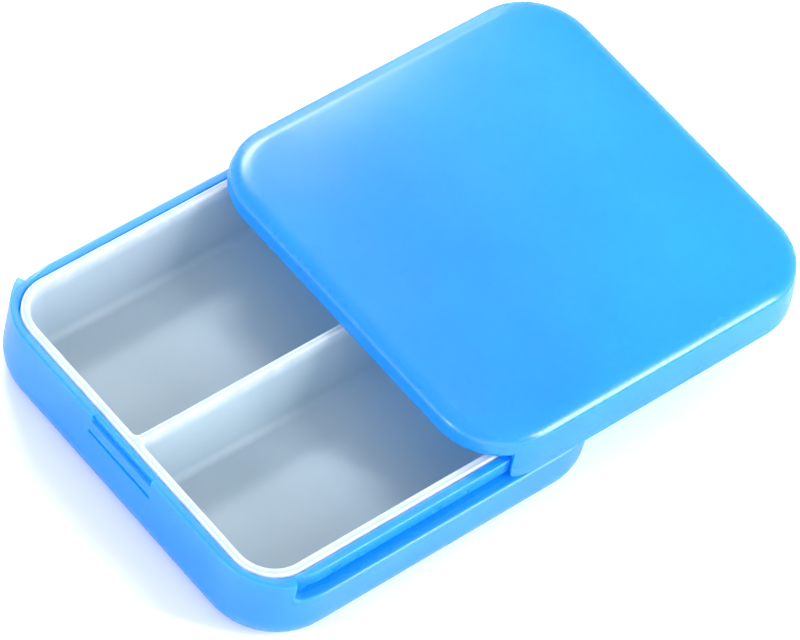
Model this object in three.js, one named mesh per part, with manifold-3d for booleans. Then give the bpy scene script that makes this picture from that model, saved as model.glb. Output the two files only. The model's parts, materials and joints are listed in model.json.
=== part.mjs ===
// Pocket pill box with a sliding lid, in three pieces: a blue base, a white tray with two
// compartments that sits in it, and a blue lid that slides off towards +X.
// Millimetres, +Z up. The origin is the centre of the base's resting face, and the lid is
// drawn pushed open to its stop.
import * as THREE from 'three';
import { mergeVertices } from 'three/addons/utils/BufferGeometryUtils.js';
import Module from 'manifold-3d';

const wasm = await Module();
wasm.setup();

// ---- overall box ----
const LENGTH = 62; // along the slide
const WIDTH = 62;
const CORNER_RADIUS = 10.5;

// ---- base ----
const BASE_HEIGHT = 12.55; // top of the end lip and of the rails
const FLOOR = 1.5;
const FOOT_INSET = 3.1; // how far the rounded bottom edge runs in
const FOOT_RISE = 4.4; // and how far it runs up
const RAIL_HEIGHT = 3.25; // from the ledge up to the top of the rails
const SKIRT_SEAT = 1.7; // depth of the rebate that the skirts slide in
const LIP_END_ANGLE = 27.5; // degrees round each left corner, measured from the long side
const GROOVE_HEIGHT = 0.85;
const GROOVE_DEPTH = 0.5;
const STOP_LENGTH = 1.5; // blocks left in the grooves that end the slide
const STOP_GAP = 0.15; // between each hook and its block, with the lid open

// ---- thumb marks on the left end ----
const NOTCH_WIDTH = 12.6;
const NOTCH_HEIGHT = 1.25;
const NOTCH_DEPTH = 0.5;
const LINE_WIDTH = 12.8;
const LINE_HEIGHT = 0.6;
const LINE_DEPTH = 0.35;
const LINE_DROP = 3.35; // from the top of the lip to the middle of the line

// ---- tray ----
const LIP_THICKNESS = 1.2; // base wall beside the tray at the left end
const RAIL_WIDTH = 1.2; // base wall beside the tray on the other three sides
const TRAY_GAP = 0.25; // all round the tray
const TRAY_SEAT_GAP = 0.3; // under the tray
const TRAY_PROUD = 0.25; // the rim stands this far above the base
const CORNER_EASE = 4.1; // the tray's corners are this much tighter than the base's
const TRAY_WALL = 1.2;
const TRAY_FLOOR = 1.2;
const TRAY_FOOT = 3.0;
const DIVIDER = 1.1;
const DIVIDER_DROP = 0.3; // the divider's top below the rim
const DIVIDER_CORNER = 1.4;
const POCKET_DRAFT = 2.3; // how far each compartment's walls lean in
const POCKET_FILLET = 1.4;

// ---- lid ----
const TRAVEL = 36.4; // from closed to the stop
const SLIDE_GAP = 0.15; // beside the rails
const LID_GAP = 0.25; // above the tray rim, and above the ledge
const LID_THICKNESS = 4.55; // from the lid's underside to the top of the crown
const CROWN = 0.5;
const FLAT_TOP = 14; // the crown stops rising this far across the middle
const LID_WALL = 1.6;
const BROW_HEIGHT = 1.35; // from the crease round the lid up to the shoulder
const BROW_INSET = 2.9;
const CREASE_INSET = 0.67;
const NOSE_INSET = 1.6; // how far the left end's lower edge is rounded in
const NOSE_RISE = 1.5;
const HOOK_LENGTH = 6.4;
const HOOK_HEIGHT = 0.45;
const HOOK_REACH = 0.5;
const TONGUE_WIDTH = 28;
const END_GAP = 0.25; // between each skirt's left end and the lip, with the lid closed

// ---- facets ----
const ARC_STEPS = 10; // in each quarter round of a plan
const FOOT_STEPS = 6;
const BROW_STEPS = 7;
const CROWN_STEPS = 4;
const SIDE_STEPS = 2;
const CUT = 5; // how far cutters run past what they cut

// ---- places that follow from those sizes ----
const box = { x0: -LENGTH / 2, x1: LENGTH / 2, y0: -WIDTH / 2, y1: WIDTH / 2 };
const ledge = BASE_HEIGHT - RAIL_HEIGHT; // the lid's skirts hang just above it
const railHalf = WIDTH / 2 - SKIRT_SEAT;
const railEnd = LENGTH / 2 - SKIRT_SEAT;
const lipAngle = THREE.MathUtils.degToRad(LIP_END_ANGLE);
const cavity = {
  x0: box.x0 + LIP_THICKNESS,
  x1: railEnd - RAIL_WIDTH,
  y0: -(railHalf - RAIL_WIDTH),
  y1: railHalf - RAIL_WIDTH,
};
const tray = {
  x0: cavity.x0 + TRAY_GAP,
  x1: cavity.x1 - TRAY_GAP,
  y0: cavity.y0 + TRAY_GAP,
  y1: cavity.y1 - TRAY_GAP,
};
const trayBottom = FLOOR + TRAY_SEAT_GAP;
const trayTop = BASE_HEIGHT + TRAY_PROUD;
const trayRadius = CORNER_RADIUS - CORNER_EASE;
const pocketFloor = trayBottom + TRAY_FLOOR;
const skirtBottom = ledge + LID_GAP;
const lidUnderside = trayTop + LID_GAP;
const lidTop = lidUnderside + LID_THICKNESS;
const skirtInner = railHalf + SLIDE_GAP;
const endSkirtInner = railEnd + SLIDE_GAP;
const shoulder = lidTop - CROWN;
const crease = shoulder - BROW_HEIGHT;
const cornerCentre = { x: box.x0 + CORNER_RADIUS, y: box.y1 - CORNER_RADIUS };
const hookTip = skirtInner - HOOK_REACH;
const lipEndAtHook = cornerCentre.x - (hookTip - cornerCentre.y) * Math.tan(lipAngle);
const hookX0 = lipEndAtHook + END_GAP;
const hookX1 = hookX0 + HOOK_LENGTH;

// A rectangle with rounded corners, moved in by `inset` all round. `radii` starts at the
// corner (x0, y0) and goes round anticlockwise.
function outline(r, inset, radii) {
  const least = 0.4;
  const [ra, rb, rc, rd] = radii.map((radius) => Math.max(radius - inset, least));
  const [x0, x1, y0, y1] = [r.x0 + inset, r.x1 - inset, r.y0 + inset, r.y1 - inset];
  const path = new THREE.Path();
  path.absarc(x0 + ra, y0 + ra, ra, Math.PI, Math.PI * 1.5);
  path.absarc(x1 - rb, y0 + rb, rb, Math.PI * 1.5, Math.PI * 2);
  path.absarc(x1 - rc, y1 - rc, rc, 0, Math.PI * 0.5);
  path.absarc(x0 + rd, y1 - rd, rd, Math.PI * 0.5, Math.PI);
  return path.getPoints(ARC_STEPS);
}

const allRound = (radius) => [radius, radius, radius, radius];

// A closed manifold solid from any closed three.js geometry.
function solid(geometry) {
  const bare = geometry.clone();
  bare.deleteAttribute('normal');
  bare.deleteAttribute('uv');
  const merged = mergeVertices(bare, 1e-5);
  return new wasm.Manifold(new wasm.Mesh({
    numProp: 3,
    vertProperties: Float32Array.from(merged.attributes.position.array),
    triVerts: Uint32Array.from(merged.index.array),
  }));
}

// A solid skinned over a stack of convex outlines, each { points, z }, lowest first.
function loft(levels) {
  const count = levels[0].points.length;
  const position = [];
  for (const { points, z } of levels) {
    for (const point of points) position.push(point.x, point.y, z);
  }
  const index = [];
  for (let level = 0; level + 1 < levels.length; level += 1) {
    for (let k = 0; k < count; k += 1) {
      const a = level * count + k;
      const b = level * count + (k + 1) % count;
      index.push(a, b, b + count, a, b + count, a + count);
    }
  }
  const top = (levels.length - 1) * count;
  for (let k = 1; k + 1 < count; k += 1) {
    index.push(0, k + 1, k);
    index.push(top, top + k, top + k + 1);
  }
  const geometry = new THREE.BufferGeometry();
  geometry.setAttribute('position', new THREE.Float32BufferAttribute(position, 3));
  geometry.setIndex(index);
  return solid(geometry);
}

// The same rounded rectangle all the way up from z0 to z1.
function prism(r, radii, z0, z1) {
  return loft([
    { points: outline(r, 0, radii), z: z0 },
    { points: outline(r, 0, radii), z: z1 },
  ]);
}

function block(x0, x1, y0, y1, z0, z1) {
  const geometry = new THREE.BoxGeometry(x1 - x0, y1 - y0, z1 - z0);
  geometry.translate((x0 + x1) / 2, (y0 + y1) / 2, (z0 + z1) / 2);
  return solid(geometry);
}

// Insets and heights along a quarter ellipse that leaves a level at z with `inset` to go
// and ends upright `rise` higher.
function footCurve(inset, rise, z) {
  return Array.from({ length: FOOT_STEPS + 1 }, (_, k) => {
    const angle = (k / FOOT_STEPS) * Math.PI / 2;
    return { inset: inset * (1 - Math.sin(angle)), z: z + rise * (1 - Math.cos(angle)) };
  });
}

// Insets and heights along a quarter ellipse that starts upright just above `start` and
// ends level, `reach` further in and `rise` higher.
function domeCurve(start, reach, rise, steps) {
  return Array.from({ length: steps }, (_, k) => {
    const angle = ((k + 1) / steps) * Math.PI / 2;
    return {
      inset: start.inset + reach * (1 - Math.cos(angle)),
      z: start.z + rise * Math.sin(angle),
    };
  });
}

function stack(r, radii, curve) {
  return loft(curve.map(({ inset, z }) => ({ points: outline(r, inset, radii), z })));
}

// Everything right of the two radial cuts through the left corners, so the cuts meet the
// outer wall square on. `shift` moves the cuts along the wall.
function rightOfLips(shift, z0, z1) {
  const centreX = cornerCentre.x + shift;
  const centreY = cornerCentre.y;
  const reach = CORNER_RADIUS * 2;
  const outX = centreX - Math.sin(lipAngle) * reach;
  const outY = centreY + Math.cos(lipAngle) * reach;
  const shape = new THREE.Shape([
    new THREE.Vector2(box.x1 + LENGTH, -outY),
    new THREE.Vector2(box.x1 + LENGTH, outY),
    new THREE.Vector2(outX, outY),
    new THREE.Vector2(centreX, centreY),
    new THREE.Vector2(centreX, -centreY),
    new THREE.Vector2(outX, -outY),
  ]);
  const geometry = new THREE.ExtrudeGeometry(shape, { depth: z1 - z0, bevelEnabled: false });
  geometry.translate(0, 0, z0);
  return solid(geometry);
}

// The band outside a rounded rectangle that is `depth` in from the box all round.
function rebate(depth, z0, z1) {
  const outer = block(box.x0 - CUT, box.x1 + CUT, box.y0 - CUT, box.y1 + CUT, z0, z1);
  const inner = { x0: box.x0 + depth, x1: box.x1 - depth, y0: box.y0 + depth, y1: box.y1 - depth };
  return outer.subtract(prism(inner, allRound(CORNER_RADIUS - depth), z0 - 1, z1 + 1));
}

function makeBase() {
  const radii = allRound(CORNER_RADIUS);
  let base = stack(box, radii, [...footCurve(FOOT_INSET, FOOT_RISE, 0), { inset: 0, z: BASE_HEIGHT }]);

  const cavityRadii = allRound(trayRadius + TRAY_GAP);
  const cavityCurve = footCurve(TRAY_FOOT, TRAY_FOOT, FLOOR);
  base = base.subtract(stack(cavity, cavityRadii, [...cavityCurve, { inset: 0, z: BASE_HEIGHT + CUT }]));

  const open = rightOfLips(0, ledge, BASE_HEIGHT + CUT);
  base = base.subtract(rebate(SKIRT_SEAT, ledge, BASE_HEIGHT + CUT).intersect(open));

  const grooveTop = ledge + GROOVE_HEIGHT;
  let groove = rebate(SKIRT_SEAT + GROOVE_DEPTH, ledge, grooveTop).intersect(open);
  const stopX0 = hookX1 + TRAVEL + STOP_GAP;
  const stopX1 = stopX0 + STOP_LENGTH;
  for (const [y0, y1] of [[-railHalf, -railHalf + CUT], [railHalf - CUT, railHalf]]) {
    groove = groove.subtract(block(stopX0, stopX1, y0, y1, ledge - CUT, grooveTop + CUT));
  }
  base = base.subtract(groove);

  const notchBottom = BASE_HEIGHT - NOTCH_HEIGHT;
  const lineMiddle = BASE_HEIGHT - LINE_DROP;
  base = base.subtract(block(
    box.x0 - CUT, box.x0 + NOTCH_DEPTH, -NOTCH_WIDTH / 2, NOTCH_WIDTH / 2, notchBottom, BASE_HEIGHT + CUT,
  ));
  return base.subtract(block(
    box.x0 - CUT, box.x0 + LINE_DEPTH, -LINE_WIDTH / 2, LINE_WIDTH / 2,
    lineMiddle - LINE_HEIGHT / 2, lineMiddle + LINE_HEIGHT / 2,
  ));
}

// One compartment, on the +Y or -Y side of the divider.
function pocket(side) {
  const inner = tray.y1 - TRAY_WALL;
  const half = DIVIDER / 2;
  const r = {
    x0: tray.x0 + TRAY_WALL,
    x1: tray.x1 - TRAY_WALL,
    y0: side > 0 ? half : -inner,
    y1: side > 0 ? inner : -half,
  };
  const wide = trayRadius - TRAY_WALL;
  const tight = DIVIDER_CORNER;
  const radii = side > 0 ? [tight, tight, wide, wide] : [wide, wide, tight, tight];
  const curve = footCurve(POCKET_FILLET, POCKET_FILLET, pocketFloor).map(({ inset, z }) => (
    { inset: inset + POCKET_DRAFT, z }
  ));
  return stack(r, radii, [...curve, { inset: 0, z: trayTop }, { inset: 0, z: trayTop + CUT }]);
}

function makeTray() {
  const curve = footCurve(TRAY_FOOT, TRAY_FOOT, trayBottom);
  const body = stack(tray, allRound(trayRadius), [...curve, { inset: 0, z: trayTop }]);
  const relief = block(
    tray.x0 + TRAY_WALL, tray.x1 - TRAY_WALL, -DIVIDER, DIVIDER, trayTop - DIVIDER_DROP, trayTop + CUT,
  );
  return body.subtract(pocket(1)).subtract(pocket(-1)).subtract(relief);
}

// How far the lid's side leans in at a height between the skirts' bottom and the crease.
function sideInset(z) {
  return CREASE_INSET * ((z - skirtBottom) / (crease - skirtBottom)) ** 2;
}

// Drawn closed over the base. The group slides it open. Its nose comes flush with the
// base's left end, so its plan runs further left than the base by what its side leans in.
function makeLid() {
  const radii = allRound(CORNER_RADIUS);
  const noseLean = sideInset(lidUnderside + NOSE_RISE);
  const plan = { ...box, x0: box.x0 - noseLean };
  const side = Array.from({ length: SIDE_STEPS + 1 }, (_, k) => {
    const z = skirtBottom + (k / SIDE_STEPS) * (crease - skirtBottom);
    return { inset: sideInset(z), z };
  });
  const brow = domeCurve({ inset: CREASE_INSET, z: crease }, BROW_INSET, BROW_HEIGHT, BROW_STEPS);
  const browEnd = brow[BROW_STEPS - 1];
  const crownReach = (Math.min(LENGTH, WIDTH) - FLAT_TOP) / 2 - browEnd.inset;
  const cap = [...brow, ...domeCurve(browEnd, crownReach, CROWN, CROWN_STEPS)];
  const full = stack(plan, radii, [...side, ...cap]);

  const nose = footCurve(NOSE_INSET, NOSE_RISE, lidUnderside).map(({ inset, z }) => (
    { inset: inset + noseLean, z }
  ));
  const plate = stack(plan, radii, [...nose, { inset: CREASE_INSET, z: crease }, ...cap]);
  const skirtZone = rightOfLips(END_GAP, skirtBottom - CUT, lidTop + CUT);
  let lid = plate.add(full.intersect(skirtZone));

  const wellRadii = allRound(CORNER_RADIUS - SKIRT_SEAT);
  const well = { x0: box.x0 - CORNER_RADIUS - CUT, x1: endSkirtInner, y0: -skirtInner, y1: skirtInner };
  lid = lid.subtract(prism(well, wellRadii, skirtBottom - CUT, lidUnderside));

  const hollow = { ...well, x0: box.x0 + NOSE_INSET + LID_WALL };
  lid = lid.subtract(prism(hollow, wellRadii, lidUnderside - CUT, shoulder - LID_WALL));

  const hookTop = skirtBottom + HOOK_HEIGHT;
  const hookRoot = skirtInner + SLIDE_GAP;
  for (const [y0, y1] of [[-hookRoot, -hookTip], [hookTip, hookRoot]]) {
    lid = lid.add(block(hookX0, hookX1, y0, y1, skirtBottom, hookTop));
  }
  return lid.add(block(
    endSkirtInner - HOOK_REACH, endSkirtInner + SLIDE_GAP,
    -TONGUE_WIDTH / 2, TONGUE_WIDTH / 2, skirtBottom, hookTop,
  ));
}

function geometryOf(manifold) {
  const mesh = manifold.getMesh();
  const geometry = new THREE.BufferGeometry();
  const stride = mesh.numProp;
  const position = [];
  for (let k = 0; k < mesh.vertProperties.length; k += stride) {
    position.push(...mesh.vertProperties.slice(k, k + 3));
  }
  geometry.setAttribute('position', new THREE.Float32BufferAttribute(position, 3));
  geometry.setIndex(Array.from(mesh.triVerts));
  geometry.computeVertexNormals();
  return geometry;
}

const blue = { color: 0x2f9bf7, roughness: 0.28, metalness: 0 };
const white = { color: 0xeef4f7, roughness: 0.35, metalness: 0 };

function piece(name, manifold, look) {
  const mesh = new THREE.Mesh(geometryOf(manifold), new THREE.MeshStandardMaterial(look));
  mesh.name = name;
  return mesh;
}

const pillBox = new THREE.Group();
pillBox.add(piece('base', makeBase(), blue));
pillBox.add(piece('tray', makeTray(), white));

const slide = new THREE.Group();
slide.position.x = TRAVEL;
slide.add(piece('lid', makeLid(), blue));
pillBox.add(slide);

export default pillBox;
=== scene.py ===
import json
import math

import bpy
import numpy as np
from mathutils import Matrix, Vector


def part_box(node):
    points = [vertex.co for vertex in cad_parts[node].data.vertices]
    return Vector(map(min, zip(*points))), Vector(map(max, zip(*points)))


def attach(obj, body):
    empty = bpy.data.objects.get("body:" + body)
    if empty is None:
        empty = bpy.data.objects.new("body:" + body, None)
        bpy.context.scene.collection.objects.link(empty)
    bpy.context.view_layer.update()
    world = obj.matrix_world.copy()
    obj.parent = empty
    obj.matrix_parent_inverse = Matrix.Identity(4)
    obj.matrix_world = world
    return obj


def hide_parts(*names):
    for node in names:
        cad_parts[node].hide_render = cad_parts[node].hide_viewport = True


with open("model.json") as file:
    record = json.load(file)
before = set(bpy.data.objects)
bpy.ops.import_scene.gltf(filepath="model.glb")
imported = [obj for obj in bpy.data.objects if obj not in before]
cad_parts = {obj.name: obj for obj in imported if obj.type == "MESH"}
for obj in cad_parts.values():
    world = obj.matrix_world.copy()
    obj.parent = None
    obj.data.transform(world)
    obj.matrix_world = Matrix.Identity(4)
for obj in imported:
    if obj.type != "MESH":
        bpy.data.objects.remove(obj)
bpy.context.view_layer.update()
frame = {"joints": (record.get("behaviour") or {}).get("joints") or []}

MM = 0.001


def node_box(name):
    low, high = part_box(name)
    return [c / MM for c in low], [c / MM for c in high]


base_low, base_high = node_box("base")
tray_low, tray_high = node_box("tray")
lid_low, lid_high = node_box("lid")
travel = -frame["joints"][0]["range_m"][0] / MM

# ---- base ----
CORNER = 10.5            # plan radius of the base and the lid
FOOT_INSET = 3.1         # rounding round the foot, across and up
FOOT_RISE = 4.4
SEAT = 1.7               # width of the ledge that the skirts slide over
RAIL_HEIGHT = 3.25       # from the ledge up to the rail's top
RAIL_WIDTH = 1.2
RAIL_EDGE = 0.16
RAIL_LEAN = 0.02
RAIL_FADE = 18.0         # angle over which the rail gives way to the lip
LIP_ANGLE = 27.5         # where the lip ends, round a left corner from the long side
LIP_THICKNESS = 1.2
LIP_TOP_START = 0.45     # where the rail's rings lie on the lip's top, which has no rail
LIP_TOP_STRIP = 0.12
FLOOR = 1.5
CAVITY_FOOT = 3.0
CAVITY_EDGE = 0.14
GROOVE_HEIGHT = 0.85     # the groove at the rail's foot that the hooks run in
GROOVE_DEPTH = 0.5
GROOVE_CHAMFER = 0.08
STOP_LENGTH = 1.5        # the block in the groove that ends the slide
STOP_GAP = 0.15
BASE_EDGE = 0.26         # rounded edge of the lip
LEDGE_EDGE = 0.45
ROOT_FILLET = 1.0        # where the lip's end meets the ledge
NOTCH_HALF = 6.3         # thumb notch in the top of the left end
NOTCH_HEIGHT = 1.25
NOTCH_DEPTH = 0.5
LINE_HALF = 6.4          # fine line under the notch
LINE_HEIGHT = 0.6
LINE_DEPTH = 0.35
LINE_DROP = 3.35
MARK_EDGE = 0.12

# ---- tray ----
TRAY_RADIUS = 6.4
TRAY_GAP = 0.25
TRAY_WALL = 1.2
TRAY_FLOOR = 1.2
TRAY_FOOT = 3.0
RIM_EDGE = 0.3
DIVIDER = 1.1
DIVIDER_DROP = 0.3       # how far the divider's top lies below the rim
DIVIDER_FADE = (0.2, 1.3)
DIVIDER_CORNER = 0.7
POCKET_LEAN = 14.5
POCKET_FILLET = 1.4

# ---- lid ----
LID_GAP = 0.25           # above the tray's rim
SLIDE_GAP = 0.15         # beside the rails
END_GAP = 0.25           # at the ends of the lip, with the lid closed
LID_WALL = 1.6
CEILING_FILLET = 0.6
SIDE_END = 0.12          # below the crease, where the plain side ends
CROWN = 0.5              # rise of the top above its rounded edge
CROWN_RINGS = (0.985, 0.96, 0.925, 0.88, 0.82, 0.75, 0.66, 0.56, 0.45, 0.33, 0.2, 0.08)
BROW_HEIGHT = 1.35       # the rounded edge round the top
BROW_INSET = 2.9
BROW_START = 8.0
BROW_END = 82.0
CREASE_INSET = 0.67      # lean of the side by the height of the crease
CREASE_DEPTH = 0.07
CREASE_LIP = 0.01        # faint swelling just below the crease
CREASE_HALF = 0.05
CREASE_DIP = 0.005
CREASE_FADE = (8.0, 34.0)
NOSE_INSET = 1.6         # rounding under the left end
NOSE_RISE = 1.5
NOSE_FLAT = 0.35
SKIRT_EDGE = 0.25
SKIRT_CORNER = 0.85      # lower corner at a skirt's left end
HOOK_LENGTH = 6.4
HOOK_HEIGHT = 0.45
HOOK_REACH = 0.5
HOOK_SLOPE = 0.08        # slope on the hook's top
HOOK_TOE = 0.14          # chamfer at the hook's foot, up and across
HOOK_TOE_IN = 0.13
TONGUE_HALF = 14.0

# ---- spacing of the meshes ----
STEP = 0.06              # columns this close make a step in a surface
CUT_HALF = 0.012         # half the width of a steeper step, at a cut
RAIL_FOOT = (0.16, 0.08, 0.06, 0.03)   # rings just outside a rail's face, kept crisp
NOSE_STEPS = (0.03, 0.06, 0.09)        # rings under the nose that match those round a hook
WALL_START = 1.1         # below the ledge, where the wall's rings begin to follow the lip's end
TURN_DROP = 0.3          # below the ledge, where columns at the lip's end are fully turned
TURN_REACH = 0.95        # how far from the lip's end columns are turned
HOLLOW_EDGE = 0.15       # above the lid's underside, a ring that holds the hollow's edge
UNDERSIDE_SHARE = 0.12   # one that does the same on the underside, where it is wide enough
UNDERSIDE_WIDE = 0.3
SKIRT_TOP = 0.05
SAME = 0.01              # places closer than this count as one
FAR = 99.0               # stands for a long way from any cut
SHARP_ANGLE = 50         # edges that turn further than this are shaded sharp

# ---- places that follow ----
base_top = base_high[2]
ledge = base_top - RAIL_HEIGHT
wall_start = ledge - WALL_START
base_rect = (base_low[0], base_high[0], base_low[1], base_high[1])
rail_half = base_high[1] - SEAT
lid_underside = tray_high[2] + LID_GAP
skirt_bottom = lid_low[2]
crease = lid_high[2] - CROWN - BROW_HEIGHT
corner_x = base_low[0] + CORNER
corner_y = base_high[1] - CORNER
degrees_per_mm = 180.0 / math.pi / CORNER


def side_inset(z):
    """How far the lid's side leans in at a height."""
    return CREASE_INSET * ((z - skirt_bottom) / (crease - skirt_bottom)) ** 2


nose_lean = side_inset(lid_underside + NOSE_RISE)
lid_rect = (lid_low[0] - nose_lean, lid_high[0], lid_low[1], lid_high[1])
skirt_half = rail_half + SLIDE_GAP
hook_tip = skirt_half - HOOK_REACH
hook_x0 = corner_x - (hook_tip - corner_y) * math.tan(math.radians(LIP_ANGLE)) + END_GAP
hook_x1 = hook_x0 + HOOK_LENGTH
stop_x0 = hook_x1 + travel + STOP_GAP
stop_x1 = stop_x0 + STOP_LENGTH


# ------------------------------------------------------------------ shared by the pieces

def smooth(a, b, v):
    """0 up to a, 1 from b on, and an even ease between."""
    t = np.clip((np.asarray(v, float) - a) / (b - a), 0.0, 1.0)
    return t * t * (3 - 2 * t)


def mix(a, b, share):
    return a + (b - a) * share


def arc(radius, distance):
    """Height of a quarter circle at a distance from where it starts upright."""
    return np.sqrt(np.clip(radius**2 - (radius - distance) ** 2, 0, None))


def quarter(step):
    """Even angles from 0 to 90."""
    return list(np.arange(0.0, 90.1, step))


def round_columns(radius, angles):
    """Distances from a cut, away from the left end, of columns that follow a quarter circle."""
    return [-CUT_HALF] + [-radius * (1 - math.cos(math.radians(a))) for a in angles]


def cut_angles(cut, columns, step, clear):
    """Angles from the long side round a left corner: columns near a cut, and even ones."""
    near = [cut + distance * degrees_per_mm for distance in columns]
    far = [a for a in quarter(step) if a < min(near) - clear or a > max(near) + clear]
    return sorted(near + far)


class Plan:
    """The columns that all rings of a piece share, anticlockwise from the front-left corner.

    A corner column is known by its corner and its normal's angle, a side column by its side
    and its place along it, so each column is found again on any rounded rectangle.
    `corners` gives angles from 0 to 90 for each corner, `sides` places along each side.
    """

    def __init__(self, corners, sides):
        corner, side, along, angle = [], [], [], []
        for k in range(4):
            for a in corners[k]:
                corner.append(k)
                side.append(-1)
                along.append(0.0)
                angle.append(180.0 + 90.0 * k + a)
            for place in sides[k]:
                corner.append(-1)
                side.append(k)
                along.append(place)
                angle.append(270.0 + 90.0 * k)
        self.corner = np.array(corner)
        self.side = np.array(side)
        self.along = np.array(along)
        self.angle = np.array(angle)
        self.count = len(angle)
        self.left_corner = np.isin(self.corner, (0, 3))
        self.from_long_side = np.where(self.corner == 0, 270 - self.angle, self.angle - 450)

    def past_cut(self, cut):
        """Distances along the outline from the cut in a left corner, positive to the left."""
        distance = (self.from_long_side - cut) / degrees_per_mm
        return np.select([self.side == 3, self.left_corner], [FAR, distance], -FAR)

    def ring(self, rect, radii, inset=0.0, z=0.0, turn=0.0, least=0.4):
        """Points on the rectangle moved in by `inset`, with corner columns turned by degrees."""
        x0, x1, y0, y1 = rect
        inset = np.broadcast_to(np.asarray(inset, float), self.count)
        at = np.radians(self.angle + turn * (self.corner >= 0))
        radius = np.broadcast_to(np.asarray(radii, float), 4)[self.corner]
        radius = np.maximum(radius - inset, least)
        left = np.isin(self.corner, (0, 3))
        front = np.isin(self.corner, (0, 1))
        x = np.where(left, x0 + inset + radius, x1 - inset - radius) + np.cos(at) * radius
        y = np.where(front, y0 + inset + radius, y1 - inset - radius) + np.sin(at) * radius
        x = np.select([self.side == 1, self.side == 3, self.side >= 0],
                      [x1 - inset, x0 + inset, self.along], x)
        y = np.select([self.side == 0, self.side == 2, self.side >= 0],
                      [y0 + inset, y1 - inset, self.along], y)
        return np.column_stack([x, y, np.broadcast_to(np.asarray(z, float), self.count)])


class Stack:
    """The rings of a piece in order, with each point's share of the edge mask: edges rougher from use
    and painted lighter as a sheen.
    """

    def __init__(self):
        self.rings = []
        self.wear_and_sheen = []

    def add(self, ring, worn_and_sheen=0.0):
        self.rings.append(ring)
        self.wear_and_sheen.append(np.broadcast_to(np.asarray(worn_and_sheen, float), len(ring)))


def once_round(level, count):
    """The point numbers of a ring, with its first one again at the end."""
    first = level * count
    return [*range(first, first + count), first]


def band(low, high):
    """Faces between two rows of point numbers, outward where the rows run anticlockwise."""
    return [(low[k], low[k + 1], high[k + 1], high[k]) for k in range(len(low) - 1)]


def skin(rings):
    """Points and outward faces over a stack of rings, with a cap at both ends."""
    count = len(rings[0])
    faces = []
    for level in range(len(rings) - 1):
        faces += band(once_round(level, count), once_round(level + 1, count))
    faces.append(tuple(range(count - 1, -1, -1)))
    top = (len(rings) - 1) * count
    faces.append(tuple(range(top, top + count)))
    return np.vstack(rings), faces


def make_piece(name, points, faces, wear_and_sheen, inside, material):
    """A smooth-shaded object. The edge mask is 1 at rounded edges, which the material makes rougher
    from use and paints lighter as a sheen; `inside` is 1 in the lid's hollow.
    """
    mesh = bpy.data.meshes.new(name)
    mesh.from_pydata((points * MM).tolist(), [], faces)
    mesh.validate()
    for attribute, values in (("edge_wear_and_sheen", wear_and_sheen), ("inside", inside)):
        layer = mesh.attributes.new(attribute, "FLOAT", "POINT")
        layer.data.foreach_set("value", np.asarray(values, np.float32))
    mesh.materials.append(material)
    mesh.polygons.foreach_set("use_smooth", [True] * len(mesh.polygons))
    mesh.set_sharp_from_angle(angle=math.radians(SHARP_ANGLE))
    piece = bpy.data.objects.new(name, mesh)
    bpy.context.scene.collection.objects.link(piece)
    weighted = piece.modifiers.new("even_normals", "WEIGHTED_NORMAL")
    weighted.keep_sharp = True
    return piece


# ------------------------------------------------------------------ base

def base_plan():
    """Columns crowded at the lip's ends, the stop blocks and the thumb marks."""
    over = [BASE_EDGE * share for share in (3.5, 2.2, 1.4, 1.0, 0.7, 0.4, 0.15)] + [CUT_HALF]
    under = round_columns(ROOT_FILLET, (25, 40, 55, 70, 90)) + [-ROOT_FILLET * 1.35]
    angles = cut_angles(LIP_ANGLE, over + under, 5.0, 2.0)
    rail_x = [-19.0, -12.0, -4.0, 4.0, 12.0, stop_x0 - STEP, stop_x0, stop_x1, stop_x1 + STEP]
    marks = [0.0, 3.0, NOTCH_HALF - 0.5, NOTCH_HALF - MARK_EDGE, NOTCH_HALF,
             LINE_HALF, LINE_HALF + MARK_EDGE, LINE_HALF + 0.6, 12.0, 18.0]
    marks = sorted(set(marks + [-m for m in marks]))
    return Plan(
        [[90 - a for a in reversed(angles)], quarter(6.0), quarter(6.0), angles],
        [rail_x, [-12.0, 0.0, 12.0], rail_x[::-1], marks[::-1]],
    )


def mark_depth(plan, z):
    """How deep the thumb marks are cut into the left end at a height."""
    y = np.abs(plan.along)
    notch = (1 - smooth(NOTCH_HALF - MARK_EDGE, NOTCH_HALF, y)) * (z > base_top - NOTCH_HEIGHT)
    line_z = abs(z - (base_top - LINE_DROP)) < LINE_HEIGHT / 2
    line = (1 - smooth(LINE_HALF, LINE_HALF + MARK_EDGE, y)) * line_z
    return (NOTCH_DEPTH * notch + LINE_DEPTH * line) * (plan.side == 3)


def wall_levels(wall_end):
    """Heights of the wall's rings, close together at the edges of the thumb marks."""
    line_low = base_top - LINE_DROP - LINE_HEIGHT / 2
    line_high = line_low + LINE_HEIGHT
    notch_low = base_top - NOTCH_HEIGHT
    levels = [wall_start]
    for z in (line_low, line_high):
        levels += [z + MARK_EDGE * share for share in (-1.0, -0.3, 0.3, 1.0)]
    levels += [line_high + 0.6, notch_low - MARK_EDGE * 0.5, notch_low + MARK_EDGE * 0.5]
    return levels + [wall_end]


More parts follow.
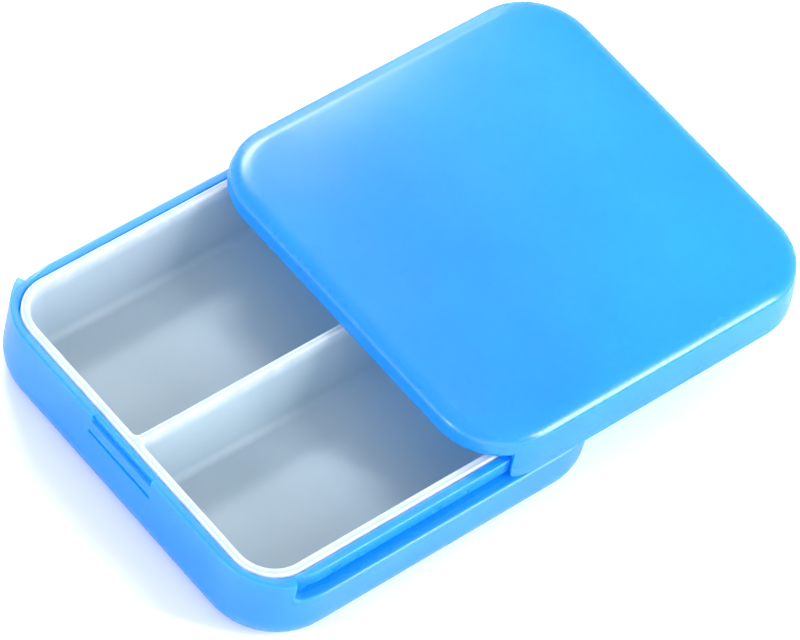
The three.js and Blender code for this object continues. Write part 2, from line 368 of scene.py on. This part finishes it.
def make_base(material):
    plan = base_plan()
    distance = plan.past_cut(LIP_ANGLE)
    turn_sign = np.where(plan.corner == 0, -1.0, 1.0) * plan.left_corner

    # height of the band outside the rails: the lip, its end and the ledge
    over = base_top - BASE_EDGE + arc(BASE_EDGE, distance)
    under = ledge + ROOT_FILLET - arc(ROOT_FILLET, -distance)
    top = np.select(
        [distance >= BASE_EDGE, distance > 0, distance > -ROOT_FILLET],
        [base_top, over, under], ledge,
    )
    rise = (base_top - top) / RAIL_HEIGHT
    edge = mix(BASE_EDGE, LEDGE_EDGE, rise)

    def end_turn(inset, z):
        """Rounds the upright edge where the lip's end meets the outer wall."""
        back = BASE_EDGE - arc(BASE_EDGE, min(inset, BASE_EDGE))
        fade = 1 - smooth(BASE_EDGE, TURN_REACH, np.abs(distance))
        rise_share = smooth(wall_start, ledge - TURN_DROP, z)
        return turn_sign * back * fade * rise_share * degrees_per_mm

    def outline(inset, z, turn=0.0):
        return plan.ring(base_rect, CORNER, inset, z, turn)

    stack = Stack()
    add = stack.add
    for a in np.radians(np.linspace(0, 90, 13)):
        add(outline(FOOT_INSET * (1 - math.sin(a)), FOOT_RISE * (1 - math.cos(a))))
    wall_end = base_top - BASE_EDGE
    for z in wall_levels(wall_end):
        share = (z - wall_start) / (wall_end - wall_start)
        height = wall_start + share * (top - edge - wall_start)
        add(outline(mark_depth(plan, z), height, end_turn(0.0, height)))
    notch = mark_depth(plan, base_top)
    for a in np.radians((22.5, 45.0, 67.5, 90.0)):
        turn = end_turn(BASE_EDGE * (1 - math.cos(a)), top)
        add(outline(notch + edge * (1 - math.cos(a)), top - edge + edge * math.sin(a), turn), 1.0)

    # the rails; at the left end, where there is none, the same rings lie flat on the lip's top
    to_left = np.where(plan.side == 3, 90.0, plan.from_long_side)
    to_left = smooth(LIP_ANGLE, LIP_ANGLE + RAIL_FADE, to_left)
    to_left = to_left * (plan.left_corner | (plan.side == 3))
    rail = mix(SEAT, notch + LIP_TOP_START, to_left)
    in_stop = (plan.along > stop_x0 - SAME) & (plan.along < stop_x1 + SAME)
    in_stop &= np.isin(plan.side, (0, 2))
    groove = smooth(-ROOT_FILLET * 1.4, -ROOT_FILLET * 1.7, distance) * ~in_stop
    groove_top = top + GROOVE_HEIGHT * groove
    ledge_end, back_foot, back_top, roof_end = RAIL_FOOT
    add(outline(rail - ledge_end, top))
    add(outline(rail - back_foot + (GROOVE_DEPTH + back_foot) * groove, top))
    add(outline(rail - back_top + (GROOVE_DEPTH + back_top) * groove, groove_top))
    add(outline(rail - roof_end + GROOVE_CHAMFER * groove, groove_top), 0.5)
    add(outline(rail, groove_top + GROOVE_CHAMFER * rise), 0.5)
    rail = rail + RAIL_LEAN
    add(outline(rail, base_top - RAIL_EDGE * rise))
    soft_top = mix(RAIL_EDGE, LIP_TOP_STRIP, to_left)
    for a in np.radians((30.0, 60.0, 90.0)):
        height = base_top - RAIL_EDGE * rise * (1 - math.sin(a))
        add(outline(rail + soft_top * (1 - math.cos(a)), height), 1.0)

    # the cavity that the tray drops into
    cavity = (
        base_low[0] + LIP_THICKNESS, base_high[0] - SEAT - RAIL_WIDTH,
        -rail_half + RAIL_WIDTH, rail_half - RAIL_WIDTH,
    )
    radius = TRAY_RADIUS + TRAY_GAP
    for a in np.radians((0.0, 30.0, 60.0, 90.0)):
        height = base_top - CAVITY_EDGE * (1 - math.cos(a))
        add(plan.ring(cavity, radius, -CAVITY_EDGE * (1 - math.sin(a)), height), 1.0)
    for a in np.radians((90, 60, 30, 0)):
        height = FLOOR + CAVITY_FOOT * (1 - math.cos(a))
        add(plan.ring(cavity, radius, CAVITY_FOOT * (1 - math.sin(a)), height))
    points, faces = skin(stack.rings)
    inside = np.zeros(len(points))
    return make_piece("base_shell", points, faces, np.concatenate(stack.wear_and_sheen), inside, material)


# ------------------------------------------------------------------ tray

def tray_plan():
    """Columns of the back pocket, crowded in its two small corners at the divider."""
    tight = [0, 9, 18, 27, 36, 45, 52, 59, 66, 74, 82, 90]
    end_y = [6.0, 13.0, 19.0]
    return Plan(
        [tight, [90 - a for a in reversed(tight)], quarter(6.0), quarter(6.0)],
        [[-22.0, -11.0, 0.0, 11.0, 20.0], end_y, [18.0, 6.0, -6.0, -18.0], end_y[::-1]],
    )


def add_mirror_image(points, faces, wear_and_sheen):
    """Adds the half at -Y, welded along the centre line, and drops points no face uses."""
    number = len(points)
    centre = np.abs(points[:, 1]) < 1e-9
    twin = np.arange(number) + number
    twin[centre] = np.flatnonzero(centre)
    faces = faces + [tuple(int(twin[k]) for k in reversed(face)) for face in faces]
    points = np.vstack([points, points * [1, -1, 1]])
    used = np.zeros(len(points), bool)
    used[[k for face in faces for k in face]] = True
    renumber = np.cumsum(used) - 1
    faces = [tuple(int(renumber[k]) for k in face) for face in faces]
    return points[used], faces, np.concatenate([wear_and_sheen, wear_and_sheen])[used]


def make_tray(material):
    """The back pocket, its rim and half of the outer wall, and then their mirror image."""
    rim_z = tray_high[2]
    x0, x1, y1 = tray_low[0], tray_high[0], tray_high[1]
    pocket = (x0 + TRAY_WALL, x1 - TRAY_WALL, DIVIDER / 2, y1 - TRAY_WALL)
    wide = TRAY_RADIUS - TRAY_WALL
    radii = [DIVIDER_CORNER, DIVIDER_CORNER, wide, wide]
    plan = tray_plan()
    # in the small corners, from -1 at the tray's end wall to 1 at the divider
    half_turn = np.where(plan.corner == 0, plan.angle - 225, 315 - plan.angle) / 45
    facing_divider = (plan.side == 0) | (np.isin(plan.corner, (0, 1)) & (half_turn > 0))

    def level(x):
        """Height of the rim, or of the divider's lower top away from the rim."""
        away = smooth(*DIVIDER_FADE, x - pocket[0]) * smooth(*DIVIDER_FADE, pocket[1] - x)
        return rim_z - DIVIDER_DROP * away

    def pocket_ring(inset, z):
        return plan.ring(pocket, radii, inset, z, least=0.5)

    def outward(inset, z):
        """The tray's own outline where the pocket faces it, and the centre line elsewhere."""
        ring = plan.ring((x0, x1, -y1, y1), TRAY_RADIUS, inset, z)
        to_divider = np.clip(half_turn, 0, 1)
        to_end_wall = np.clip(-half_turn, 0, 1)
        for corner, end, tangent_x in (
            (0, x0 + inset, pocket[0] + DIVIDER_CORNER),
            (1, x1 - inset, pocket[1] - DIVIDER_CORNER),
        ):
            here = plan.corner == corner
            ring[here, 0] = mix(end, tangent_x, to_divider[here])
            ring[here, 1] = (pocket[2] + DIVIDER_CORNER) * to_end_wall[here]
        ring[plan.side == 0, 1] = 0.0
        return ring

    # floor fillet, leaning wall and the rim's inner edge
    stack = Stack()
    add = stack.add
    floor_z = tray_low[2] + TRAY_FLOOR
    lean = math.radians(POCKET_LEAN)
    wall_foot = floor_z + POCKET_FILLET * (1 - math.sin(lean))
    wall_inset = (rim_z - DIVIDER_DROP / 2 - RIM_EDGE - wall_foot) * math.tan(lean)
    floor_inset = wall_inset + POCKET_FILLET * math.cos(lean)
    for a in np.linspace(0, math.pi / 2 - lean, 8):
        height = floor_z + POCKET_FILLET * (1 - math.cos(a))
        add(pocket_ring(floor_inset - POCKET_FILLET * math.sin(a), height))
    top = np.where(facing_divider, level(plan.ring(pocket, radii)[:, 0]), rim_z)
    edge_foot = top - RIM_EDGE * (1 - math.sin(lean))
    for share in (0.4, 0.8):
        add(pocket_ring(wall_inset * (1 - share), mix(wall_foot, edge_foot, share)))
    for a in np.linspace(lean, math.pi / 2, 6):
        height = top - RIM_EDGE * (1 - math.sin(a))
        add(plan.ring(pocket, radii, RIM_EDGE * (math.cos(a) - 1), height), 0.6)

    # out to the rim's outer edge, or to the middle of the divider
    boundary = outward(RIM_EDGE, rim_z)
    boundary[:, 2] = np.where(facing_divider, level(boundary[:, 0]), rim_z)
    add(boundary)
    count = plan.count
    number = len(stack.rings)
    faces = []
    for k in range(number - 1):
        faces += band(once_round(k + 1, count), once_round(k, count))
    faces.append(tuple(range(count)))

    # the outer wall runs from the right end of the centre line round the back to the left end
    strip = [k for k in range(count) if not facing_divider[k]]
    start = next(i for i, k in enumerate(strip) if plan.corner[k] == 1)
    strip = strip[start:] + strip[:start]
    last = [(number - 1) * count + k for k in strip]
    profile = [(RIM_EDGE * (1 - math.cos(a)), rim_z - RIM_EDGE * (1 - math.sin(a)), 1.0)
               for a in np.radians((60.0, 30.0, 0.0))]
    profile += [(TRAY_FOOT * (1 - math.sin(a)), tray_low[2] + TRAY_FOOT * (1 - math.cos(a)), 0.0)
                for a in np.radians((90, 60, 30, 0))]
    first = number * count
    for inset, z, worn_and_sheen in profile:
        add(outward(inset, z)[strip], worn_and_sheen)
        here = list(range(first, first + len(strip)))
        faces += band(here, last)
        last = here
        first += len(strip)
    faces.append(tuple(reversed(last)))
    points, faces, wear_and_sheen = add_mirror_image(
        np.vstack(stack.rings), faces, np.concatenate(stack.wear_and_sheen))
    return make_piece("tray_insert", points, faces, wear_and_sheen, np.zeros(len(points)), material)


# ------------------------------------------------------------------ lid

def lid_plan(skirt_angle):
    """Columns crowded at the skirts' left ends and at the ends of the hooks and the tongue."""
    near = [0.9, 0.3, CUT_HALF] + round_columns(SKIRT_CORNER, (20, 35, 50, 65, 90))
    angles = cut_angles(skirt_angle, near, 4.5, 1.5)
    hook_end = hook_x1 + travel
    long_x = [hook_end, hook_end + STEP, 24.0, 32.0, 40.0, 48.0, 55.0]
    end_y = [0.0, 7.0, TONGUE_HALF, TONGUE_HALF + STEP, 18.0]
    end_y = sorted(set(end_y + [-y for y in end_y]))
    nose_y = [-18.0, -12.0, -6.0, 0.0, 6.0, 12.0, 18.0]
    return Plan(
        [[90 - a for a in reversed(angles)], quarter(5.0), quarter(5.0), angles],
        [long_x, end_y, long_x[::-1], nose_y[::-1]],
    )


def skirt_inner_face(plan, on_nose):
    """Each column's foot on the skirts' inner faces or under the nose, and its way inwards."""
    inner = plan.ring(lid_rect, CORNER, SEAT - SLIDE_GAP)
    at = np.radians(plan.angle)
    way_in = np.column_stack([-np.cos(at), -np.sin(at)])
    # straight along the rails, even where the outside curves
    straight = plan.left_corner & ~on_nose
    front = plan.corner[straight] == 0
    back_by = (skirt_half - corner_y) * np.tan(np.radians(plan.from_long_side[straight]))
    inner[straight, 0] = lid_rect[0] + CORNER - back_by
    inner[straight, 1] = np.where(front, -skirt_half, skirt_half)
    way_in[straight] = np.column_stack([np.zeros(len(front)), np.where(front, 1.0, -1.0)])
    flat_start = plan.ring(lid_rect, CORNER, NOSE_INSET + nose_lean + NOSE_FLAT)
    inner[on_nose] = flat_start[on_nose]
    return inner, way_in


def make_lid(material):
    swing = math.asin((END_GAP + nose_lean) * math.cos(math.radians(LIP_ANGLE)) / CORNER)
    skirt_angle = LIP_ANGLE - math.degrees(swing)
    plan = lid_plan(skirt_angle)
    distance = plan.past_cut(skirt_angle)
    on_nose = distance > 0
    nose = on_nose.astype(float)
    skirts = 1 - nose

    # lowest edge: the nose's underside, or the skirt with a rounded corner at its end
    toe_rise = SKIRT_CORNER - arc(SKIRT_CORNER, -distance)
    skirt = skirt_bottom + np.where(distance > -SKIRT_CORNER, toe_rise, 0.0)
    bottom = mix(skirt, lid_underside, nose)

    inner, way_in = skirt_inner_face(plan, on_nose)
    along_side = np.isin(plan.side, (0, 2)) | (plan.left_corner & ~on_nose)
    hooks = (inner[:, 0] > hook_x0 + travel) & (inner[:, 0] < hook_x1 + travel + SAME)
    tongue = (plan.side == 1) & (np.abs(plan.along) < TONGUE_HALF + SAME)
    reach = HOOK_REACH * (along_side & hooks | tongue)

    def inner_ring(step, z):
        ring = inner.copy()
        ring[:, :2] += way_in * np.broadcast_to(step, plan.count)[:, None]
        ring[:, 2] = z
        return ring

    def outline(inset, z):
        return plan.ring(lid_rect, CORNER, inset, z)

    # the hollow, from its ceiling down to the underside
    stack = Stack()
    add = stack.add
    hollow = (lid_low[0] + NOSE_INSET + LID_WALL, lid_high[0] - SEAT + SLIDE_GAP,
              -skirt_half, skirt_half)
    radius = CORNER - SEAT
    ceiling = lid_high[2] - CROWN - LID_WALL
    for a in np.radians((0, 30, 60, 90)):
        height = ceiling - CEILING_FILLET * (1 - math.cos(a))
        add(plan.ring(hollow, radius, CEILING_FILLET * (1 - math.sin(a)), height))
    add(plan.ring(hollow, radius, 0.0, lid_underside + HOLLOW_EDGE))
    hollow_foot = plan.ring(hollow, radius, 0.0, lid_underside)
    hollow_rings = len(stack.rings) + 1
    gap = np.linalg.norm(hollow_foot[:, :2] - inner[:, :2], axis=1)
    share = UNDERSIDE_SHARE * (gap > UNDERSIDE_WIDE)[:, None]
    add(mix(hollow_foot, inner_ring(0.0, lid_underside), share))

    # down the skirts and round the hooks; the same rings lie close together under the nose
    add(inner_ring(0.0, lid_underside - SKIRT_TOP * skirts))
    hook_profile = ((0.0, HOOK_HEIGHT + HOOK_SLOPE), (reach, HOOK_HEIGHT), (reach, HOOK_TOE))
    for nose_step, (step, up) in zip(NOSE_STEPS, hook_profile):
        add(inner_ring(step - nose_step * nose, bottom + up * skirts))
    add(inner_ring(reach - HOOK_TOE_IN, bottom))

    # the outside: rounded lower edge and leaning side
    lean = mix(side_inset(bottom + SKIRT_EDGE), nose_lean, nose)
    round_in = mix(SKIRT_EDGE, NOSE_INSET, nose)
    round_up = mix(SKIRT_EDGE, NOSE_RISE, nose)
    for a in np.radians(np.linspace(0, 90, 8)):
        height = bottom + round_up * (1 - math.cos(a))
        add(outline(lean + round_in * (1 - math.sin(a)), height), skirts)
    for share in (0.33, 0.66, 1.0):
        height = mix(bottom + round_up, crease - SIDE_END, share)
        add(outline(side_inset(height), height))

    # a fine crease on three sides that fades out round the left corners
    fade = np.where(plan.side == 3, 0.0, 1.0)
    fade = np.where(plan.left_corner, 1 - smooth(*CREASE_FADE, plan.from_long_side), fade)
    below = crease - CREASE_HALF
    add(outline(side_inset(below) - CREASE_LIP * fade, below))
    add(outline(CREASE_INSET + CREASE_DEPTH * fade, crease - CREASE_DIP * fade), 0.4)

    # the rounded edge round the top, and the crown in rings scaled towards its middle
    for a in np.radians(np.linspace(BROW_START, BROW_END, 12)):
        inset = CREASE_INSET + BROW_INSET * (1 - math.cos(a))
        add(outline(inset, crease + BROW_HEIGHT * math.sin(a)), 0.3 * math.cos(a))
    brow_end = math.radians(BROW_END)
    shoulder_inset = CREASE_INSET + BROW_INSET * (1 - math.cos(brow_end))
    shoulder = crease + BROW_HEIGHT * math.sin(brow_end)
    middle = np.array([(lid_rect[0] + lid_rect[1]) / 2, (lid_rect[2] + lid_rect[3]) / 2])
    half_size = np.array([(lid_rect[1] - lid_rect[0]) / 2, (lid_rect[3] - lid_rect[2]) / 2])
    rim = outline(shoulder_inset, shoulder)
    for share in CROWN_RINGS:
        ring = rim.copy()
        ring[:, :2] = mix(middle, rim[:, :2], share)
        u, v = ((ring[:, :2] - middle) / (half_size - shoulder_inset)).T
        rise = np.clip((1 - u**2) * (1 - v**2), 0, 1)
        ring[:, 2] += (lid_high[2] - shoulder) * (1 - (1 - rise) ** 2)
        add(ring)
    points, faces = skin(stack.rings)
    points[:, 2] = np.minimum(points[:, 2], lid_high[2])
    inside = np.arange(len(points)) < hollow_rings * plan.count
    wear_and_sheen = np.concatenate(stack.wear_and_sheen)
    return make_piece("sliding_lid_shell", points, faces, wear_and_sheen, inside, material)


# ------------------------------------------------------------------ materials

# noise scales, in features per metre
CLOUDS = 90.0
WEAR_AND_SHEEN_PATCHES = 420.0
SMUDGES = 60.0
GRAIN = 2600.0
RIPPLE = 240.0
HAIRLINES = 1500.0
HAIRLINE_STRETCH = (0.06, 1.6, 1.0)
HAIRLINE_TURN = 24
BUMP_HEIGHT = 0.00002
IOR = 1.49
SPECULAR = 0.8
THROUGH_OUTSIDE = 0.28   # share of the look that is light coming through the wall
THROUGH_INSIDE = 0.92


def principled(name):
    material = bpy.data.materials.new(name)
    material.use_nodes = True
    tree = material.node_tree
    return material, tree, tree.nodes["Principled BSDF"]


def object_coordinates(tree):
    coords = tree.nodes.get("coords") or tree.nodes.new("ShaderNodeTexCoord")
    coords.name = "coords"
    return coords.outputs["Object"]


def add_noise(tree, scale, detail, roughness=0.5, vector=None):
    noise = tree.nodes.new("ShaderNodeTexNoise")
    noise.inputs["Scale"].default_value = scale
    noise.inputs["Detail"].default_value = detail
    noise.inputs["Roughness"].default_value = roughness
    tree.links.new(vector or object_coordinates(tree), noise.inputs["Vector"])
    return noise.outputs["Fac"]


def add_range(tree, value, low, high, out_low, out_high):
    node = tree.nodes.new("ShaderNodeMapRange")
    node.inputs["From Min"].default_value = low
    node.inputs["From Max"].default_value = high
    node.inputs["To Min"].default_value = out_low
    node.inputs["To Max"].default_value = out_high
    tree.links.new(value, node.inputs["Value"])
    return node.outputs["Result"]


def add_mix(tree, share, first, second):
    """Mixes a colour, or an output with one, towards a second colour."""
    node = tree.nodes.new("ShaderNodeMix")
    node.data_type = "RGBA"
    if isinstance(first, bpy.types.NodeSocket):
        tree.links.new(first, node.inputs["A"])
    else:
        node.inputs["A"].default_value = (*first, 1)
    node.inputs["B"].default_value = (*second, 1)
    tree.links.new(share, node.inputs["Factor"])
    return node.outputs["Result"]


def add_math(tree, operation, first, second):
    node = tree.nodes.new("ShaderNodeMath")
    node.operation = operation
    tree.links.new(first, node.inputs[0])
    tree.links.new(second, node.inputs[1])
    return node.outputs["Value"]


def add_attribute(tree, name):
    node = tree.nodes.new("ShaderNodeAttribute")
    node.attribute_name = name
    return node.outputs["Fac"]


def moulded_skin(tree, grain):
    """A normal with fine grain, a faint ripple and sparse hairline scratches."""
    ripple = add_range(tree, add_noise(tree, RIPPLE, 2.0), 0.0, 1.0, 0.0, 0.8)
    stretch = tree.nodes.new("ShaderNodeMapping")
    stretch.inputs["Scale"].default_value = HAIRLINE_STRETCH
    stretch.inputs["Rotation"].default_value = (0.0, 0.0, math.radians(HAIRLINE_TURN))
    tree.links.new(object_coordinates(tree), stretch.inputs["Vector"])
    hairlines = add_noise(tree, HAIRLINES, 3.0, vector=stretch.outputs["Vector"])
    scratch = add_range(tree, hairlines, 0.68, 0.74, 0.0, -0.5)
    height = add_math(tree, "ADD", add_noise(tree, GRAIN, 2.0), ripple)
    bump = tree.nodes.new("ShaderNodeBump")
    bump.inputs["Strength"].default_value = grain
    bump.inputs["Distance"].default_value = BUMP_HEIGHT
    tree.links.new(add_math(tree, "ADD", height, scratch), bump.inputs["Height"])
    return bump.outputs["Normal"]


def let_light_through(tree, shader, glow):
    """Mixes in light that comes through the wall, most of it on the faces of the lid's hollow."""
    through = tree.nodes.new("ShaderNodeBsdfTranslucent")
    through.inputs["Color"].default_value = (*glow, 1)
    share = add_range(tree, add_attribute(tree, "inside"), 0.0, 1.0, THROUGH_OUTSIDE, THROUGH_INSIDE)
    blend = tree.nodes.new("ShaderNodeMixShader")
    tree.links.new(share, blend.inputs["Fac"])
    tree.links.new(shader.outputs["BSDF"], blend.inputs[1])
    tree.links.new(through.outputs["BSDF"], blend.inputs[2])
    tree.links.new(blend.outputs["Shader"], tree.nodes["Material Output"].inputs["Surface"])


def moulded_plastic(name, colour, cloud, worn_and_sheen, wear_and_sheen_share, rough, grain, subsurface, radius, depth, glow):
    """Injection-moulded plastic: faint clouds, smudges, a moulded skin, and rounded edges made
    rougher from use and painted lighter as a sheen.
    """
    material, tree, shader = principled(name)
    clouds = add_range(tree, add_noise(tree, CLOUDS, 3.0), 0.35, 0.65, 0.0, 1.0)
    tinted = add_mix(tree, clouds, colour, cloud)
    # painted sheen: the rounded edges are mixed, in random spots, towards a lighter colour that
    # stands in for their highlight; the same mask also makes them rougher from use
    wear_and_sheen_patches = add_range(tree, add_noise(tree, WEAR_AND_SHEEN_PATCHES, 4.0, 0.6), 0.15, 0.6, 0.0, 1.0)
    wear_and_sheen_mask = add_math(tree, "MULTIPLY", add_attribute(tree, "edge_wear_and_sheen"), wear_and_sheen_patches)
    colour_with_painted_sheen = add_mix(tree, add_range(tree, wear_and_sheen_mask, 0.0, 1.0, 0.0, wear_and_sheen_share), tinted, worn_and_sheen)
    tree.links.new(colour_with_painted_sheen, shader.inputs["Base Color"])

    smudges = add_range(tree, add_noise(tree, SMUDGES, 3.0), 0.3, 0.7, rough - 0.02, rough + 0.03)
    rubbed_rough = add_range(tree, wear_and_sheen_mask, 0.0, 1.0, 0.0, 0.12)
    tree.links.new(add_math(tree, "ADD", smudges, rubbed_rough), shader.inputs["Roughness"])
    tree.links.new(moulded_skin(tree, grain), shader.inputs["Normal"])

    shader.inputs["IOR"].default_value = IOR
    shader.inputs["Specular IOR Level"].default_value = SPECULAR
    shader.inputs["Subsurface Weight"].default_value = subsurface
    shader.inputs["Subsurface Radius"].default_value = radius
    shader.inputs["Subsurface Scale"].default_value = depth
    let_light_through(tree, shader, glow)
    return material


# the blue's rounded edges are mixed a tenth of the way towards a lighter blue, a faint painted sheen
blue = moulded_plastic(
    "blue_plastic",
    colour=(0.005, 0.265, 0.97), cloud=(0.007, 0.285, 0.99), worn_and_sheen=(0.05, 0.40, 0.99), wear_and_sheen_share=0.1,
    rough=0.24, grain=0.35,
    subsurface=0.8, radius=(0.1, 0.7, 1.0), depth=0.003, glow=(0.12, 0.78, 1.0),
)
# the tray's rounded rims are mixed almost fully towards near-white, a painted sheen that stands in
# for their highlight
white = moulded_plastic(
    "white_plastic",
    colour=(0.41, 0.51, 0.57), cloud=(0.44, 0.53, 0.59), worn_and_sheen=(0.94, 0.97, 0.98), wear_and_sheen_share=0.95,
    rough=0.58, grain=0.45,
    subsurface=0.4, radius=(0.8, 1.0, 1.0), depth=0.002, glow=(0.7, 0.9, 1.0),
)
for shell, body, node, slot in (
    (make_base(blue), "box", "base", "blue_shell"),
    (make_tray(white), "box", "tray", "white_tray"),
    (make_lid(blue), "sliding_lid", "lid", "blue_shell"),
):
    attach(shell, body)
    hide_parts(node)


# ------------------------------------------------------------------ floor, light and camera

# lengths in metres from here on, apart from the lens in millimetres
FLOOR_REACH = 3.0
FLOOR_DROP = 0.00002
FLOOR_TONES = ((0.90, 0.91, 0.92), (0.93, 0.94, 0.95))
LIT_PLACE = (0.018, 0.0, 0.01)
SKY_COLOUR = (0.97, 0.985, 1.0)
SKY_RISE = (0.2, 0.6)           # where the sky's strength changes, as the sine of elevation
SKY_STRENGTH = (1.65, 0.7)      # below and above that
CAMERA_AZIMUTH = -51.743
CAMERA_ELEVATION = 51.113
CAMERA_ROLL = 15.412
CAMERA_TARGET = (0.016383, -0.001268, 0.008267)
CAMERA_DISTANCE = 0.75778
CAMERA_LENS = 254.04


def make_floor():
    material, tree, shader = principled("pale_floor")
    tone = add_mix(tree, add_noise(tree, 6.0, 3.0), *FLOOR_TONES)
    tree.links.new(tone, shader.inputs["Base Color"])
    shader.inputs["Roughness"].default_value = 0.8
    shader.inputs["Specular IOR Level"].default_value = 0.1
    mesh = bpy.data.meshes.new("floor")
    corners = [(x * FLOOR_REACH, y * FLOOR_REACH, 0) for x, y in ((-1, -1), (1, -1), (1, 1), (-1, 1))]
    mesh.from_pydata(corners, [], [(0, 1, 2, 3)])
    mesh.materials.append(material)
    floor = bpy.data.objects.new("floor", mesh)
    bpy.context.scene.collection.objects.link(floor)
    floor.location.z = -FLOOR_DROP


def add_softbox(name, direction, distance, width, height, power):
    """An area light seen from the object in a direction, turned towards it."""
    light = bpy.data.lights.new(name, "AREA")
    light.shape = "RECTANGLE"
    light.size = width
    light.size_y = height
    light.energy = power
    lamp = bpy.data.objects.new(name, light)
    way = Vector(direction).normalized()
    lamp.location = Vector(LIT_PLACE) + way * distance
    lamp.rotation_euler = way.to_track_quat("Z", "Y").to_euler()
    bpy.context.scene.collection.objects.link(lamp)


def make_world():
    """A plain sky, bright to a little above the horizon and dimmer overhead."""
    world = bpy.data.worlds.new("studio")
    world.use_nodes = True
    tree = world.node_tree
    coords = tree.nodes.new("ShaderNodeTexCoord")
    split = tree.nodes.new("ShaderNodeSeparateXYZ")
    tree.links.new(coords.outputs["Generated"], split.inputs["Vector"])
    strength = add_range(tree, split.outputs["Z"], *SKY_RISE, *SKY_STRENGTH)
    strength.node.interpolation_type = "SMOOTHSTEP"
    background = tree.nodes["Background"]
    background.inputs["Color"].default_value = (*SKY_COLOUR, 1)
    tree.links.new(strength, background.inputs["Strength"])
    bpy.context.scene.world = world


def make_camera():
    """Looks down at the open box from its left front, rolled as a product shot is."""
    azimuth = math.radians(CAMERA_AZIMUTH)
    elevation = math.radians(CAMERA_ELEVATION)
    roll = math.radians(CAMERA_ROLL)
    back = Vector((
        math.sin(azimuth) * math.cos(elevation),
        -math.cos(azimuth) * math.cos(elevation),
        math.sin(elevation),
    ))
    right = Vector((math.cos(azimuth), math.sin(azimuth), 0))
    up = back.cross(right)
    rolled_right = right * math.cos(roll) + up * math.sin(roll)
    rolled_up = up * math.cos(roll) - right * math.sin(roll)
    data = bpy.data.cameras.new("camera")
    data.sensor_width = 36
    data.lens = CAMERA_LENS
    data.clip_start = 0.01
    camera = bpy.data.objects.new("camera", data)
    turn = Matrix((rolled_right, rolled_up, back)).transposed().to_4x4()
    place = Vector(CAMERA_TARGET) + back * CAMERA_DISTANCE
    camera.matrix_world = Matrix.Translation(place) @ turn
    bpy.context.scene.collection.objects.link(camera)
    bpy.context.scene.camera = camera


make_floor()
make_world()
# direction from the object, then distance, width, height and watts
add_softbox("top_soft", (0.1, -0.25, 1.0), 1.2, 1.2, 1.2, 1.4)
add_softbox("front_tall", (0.53, -0.79, 0.44), 0.8, 0.09, 0.7, 7.0)
add_softbox("front_fill", (-0.5, -0.78, 0.42), 1.0, 1.0, 0.6, 2.6)
add_softbox("back_soft", (0.34, 0.66, 0.68), 1.0, 0.34, 0.12, 5.5)
add_softbox("back_low", (0.42, 0.84, 0.34), 1.0, 0.5, 0.4, 1.8)
add_softbox("left_spot", (-0.896, 0.12, 0.41), 0.9, 0.05, 0.22, 2.6)
make_camera()
bpy.context.scene.view_settings.view_transform = "Standard"
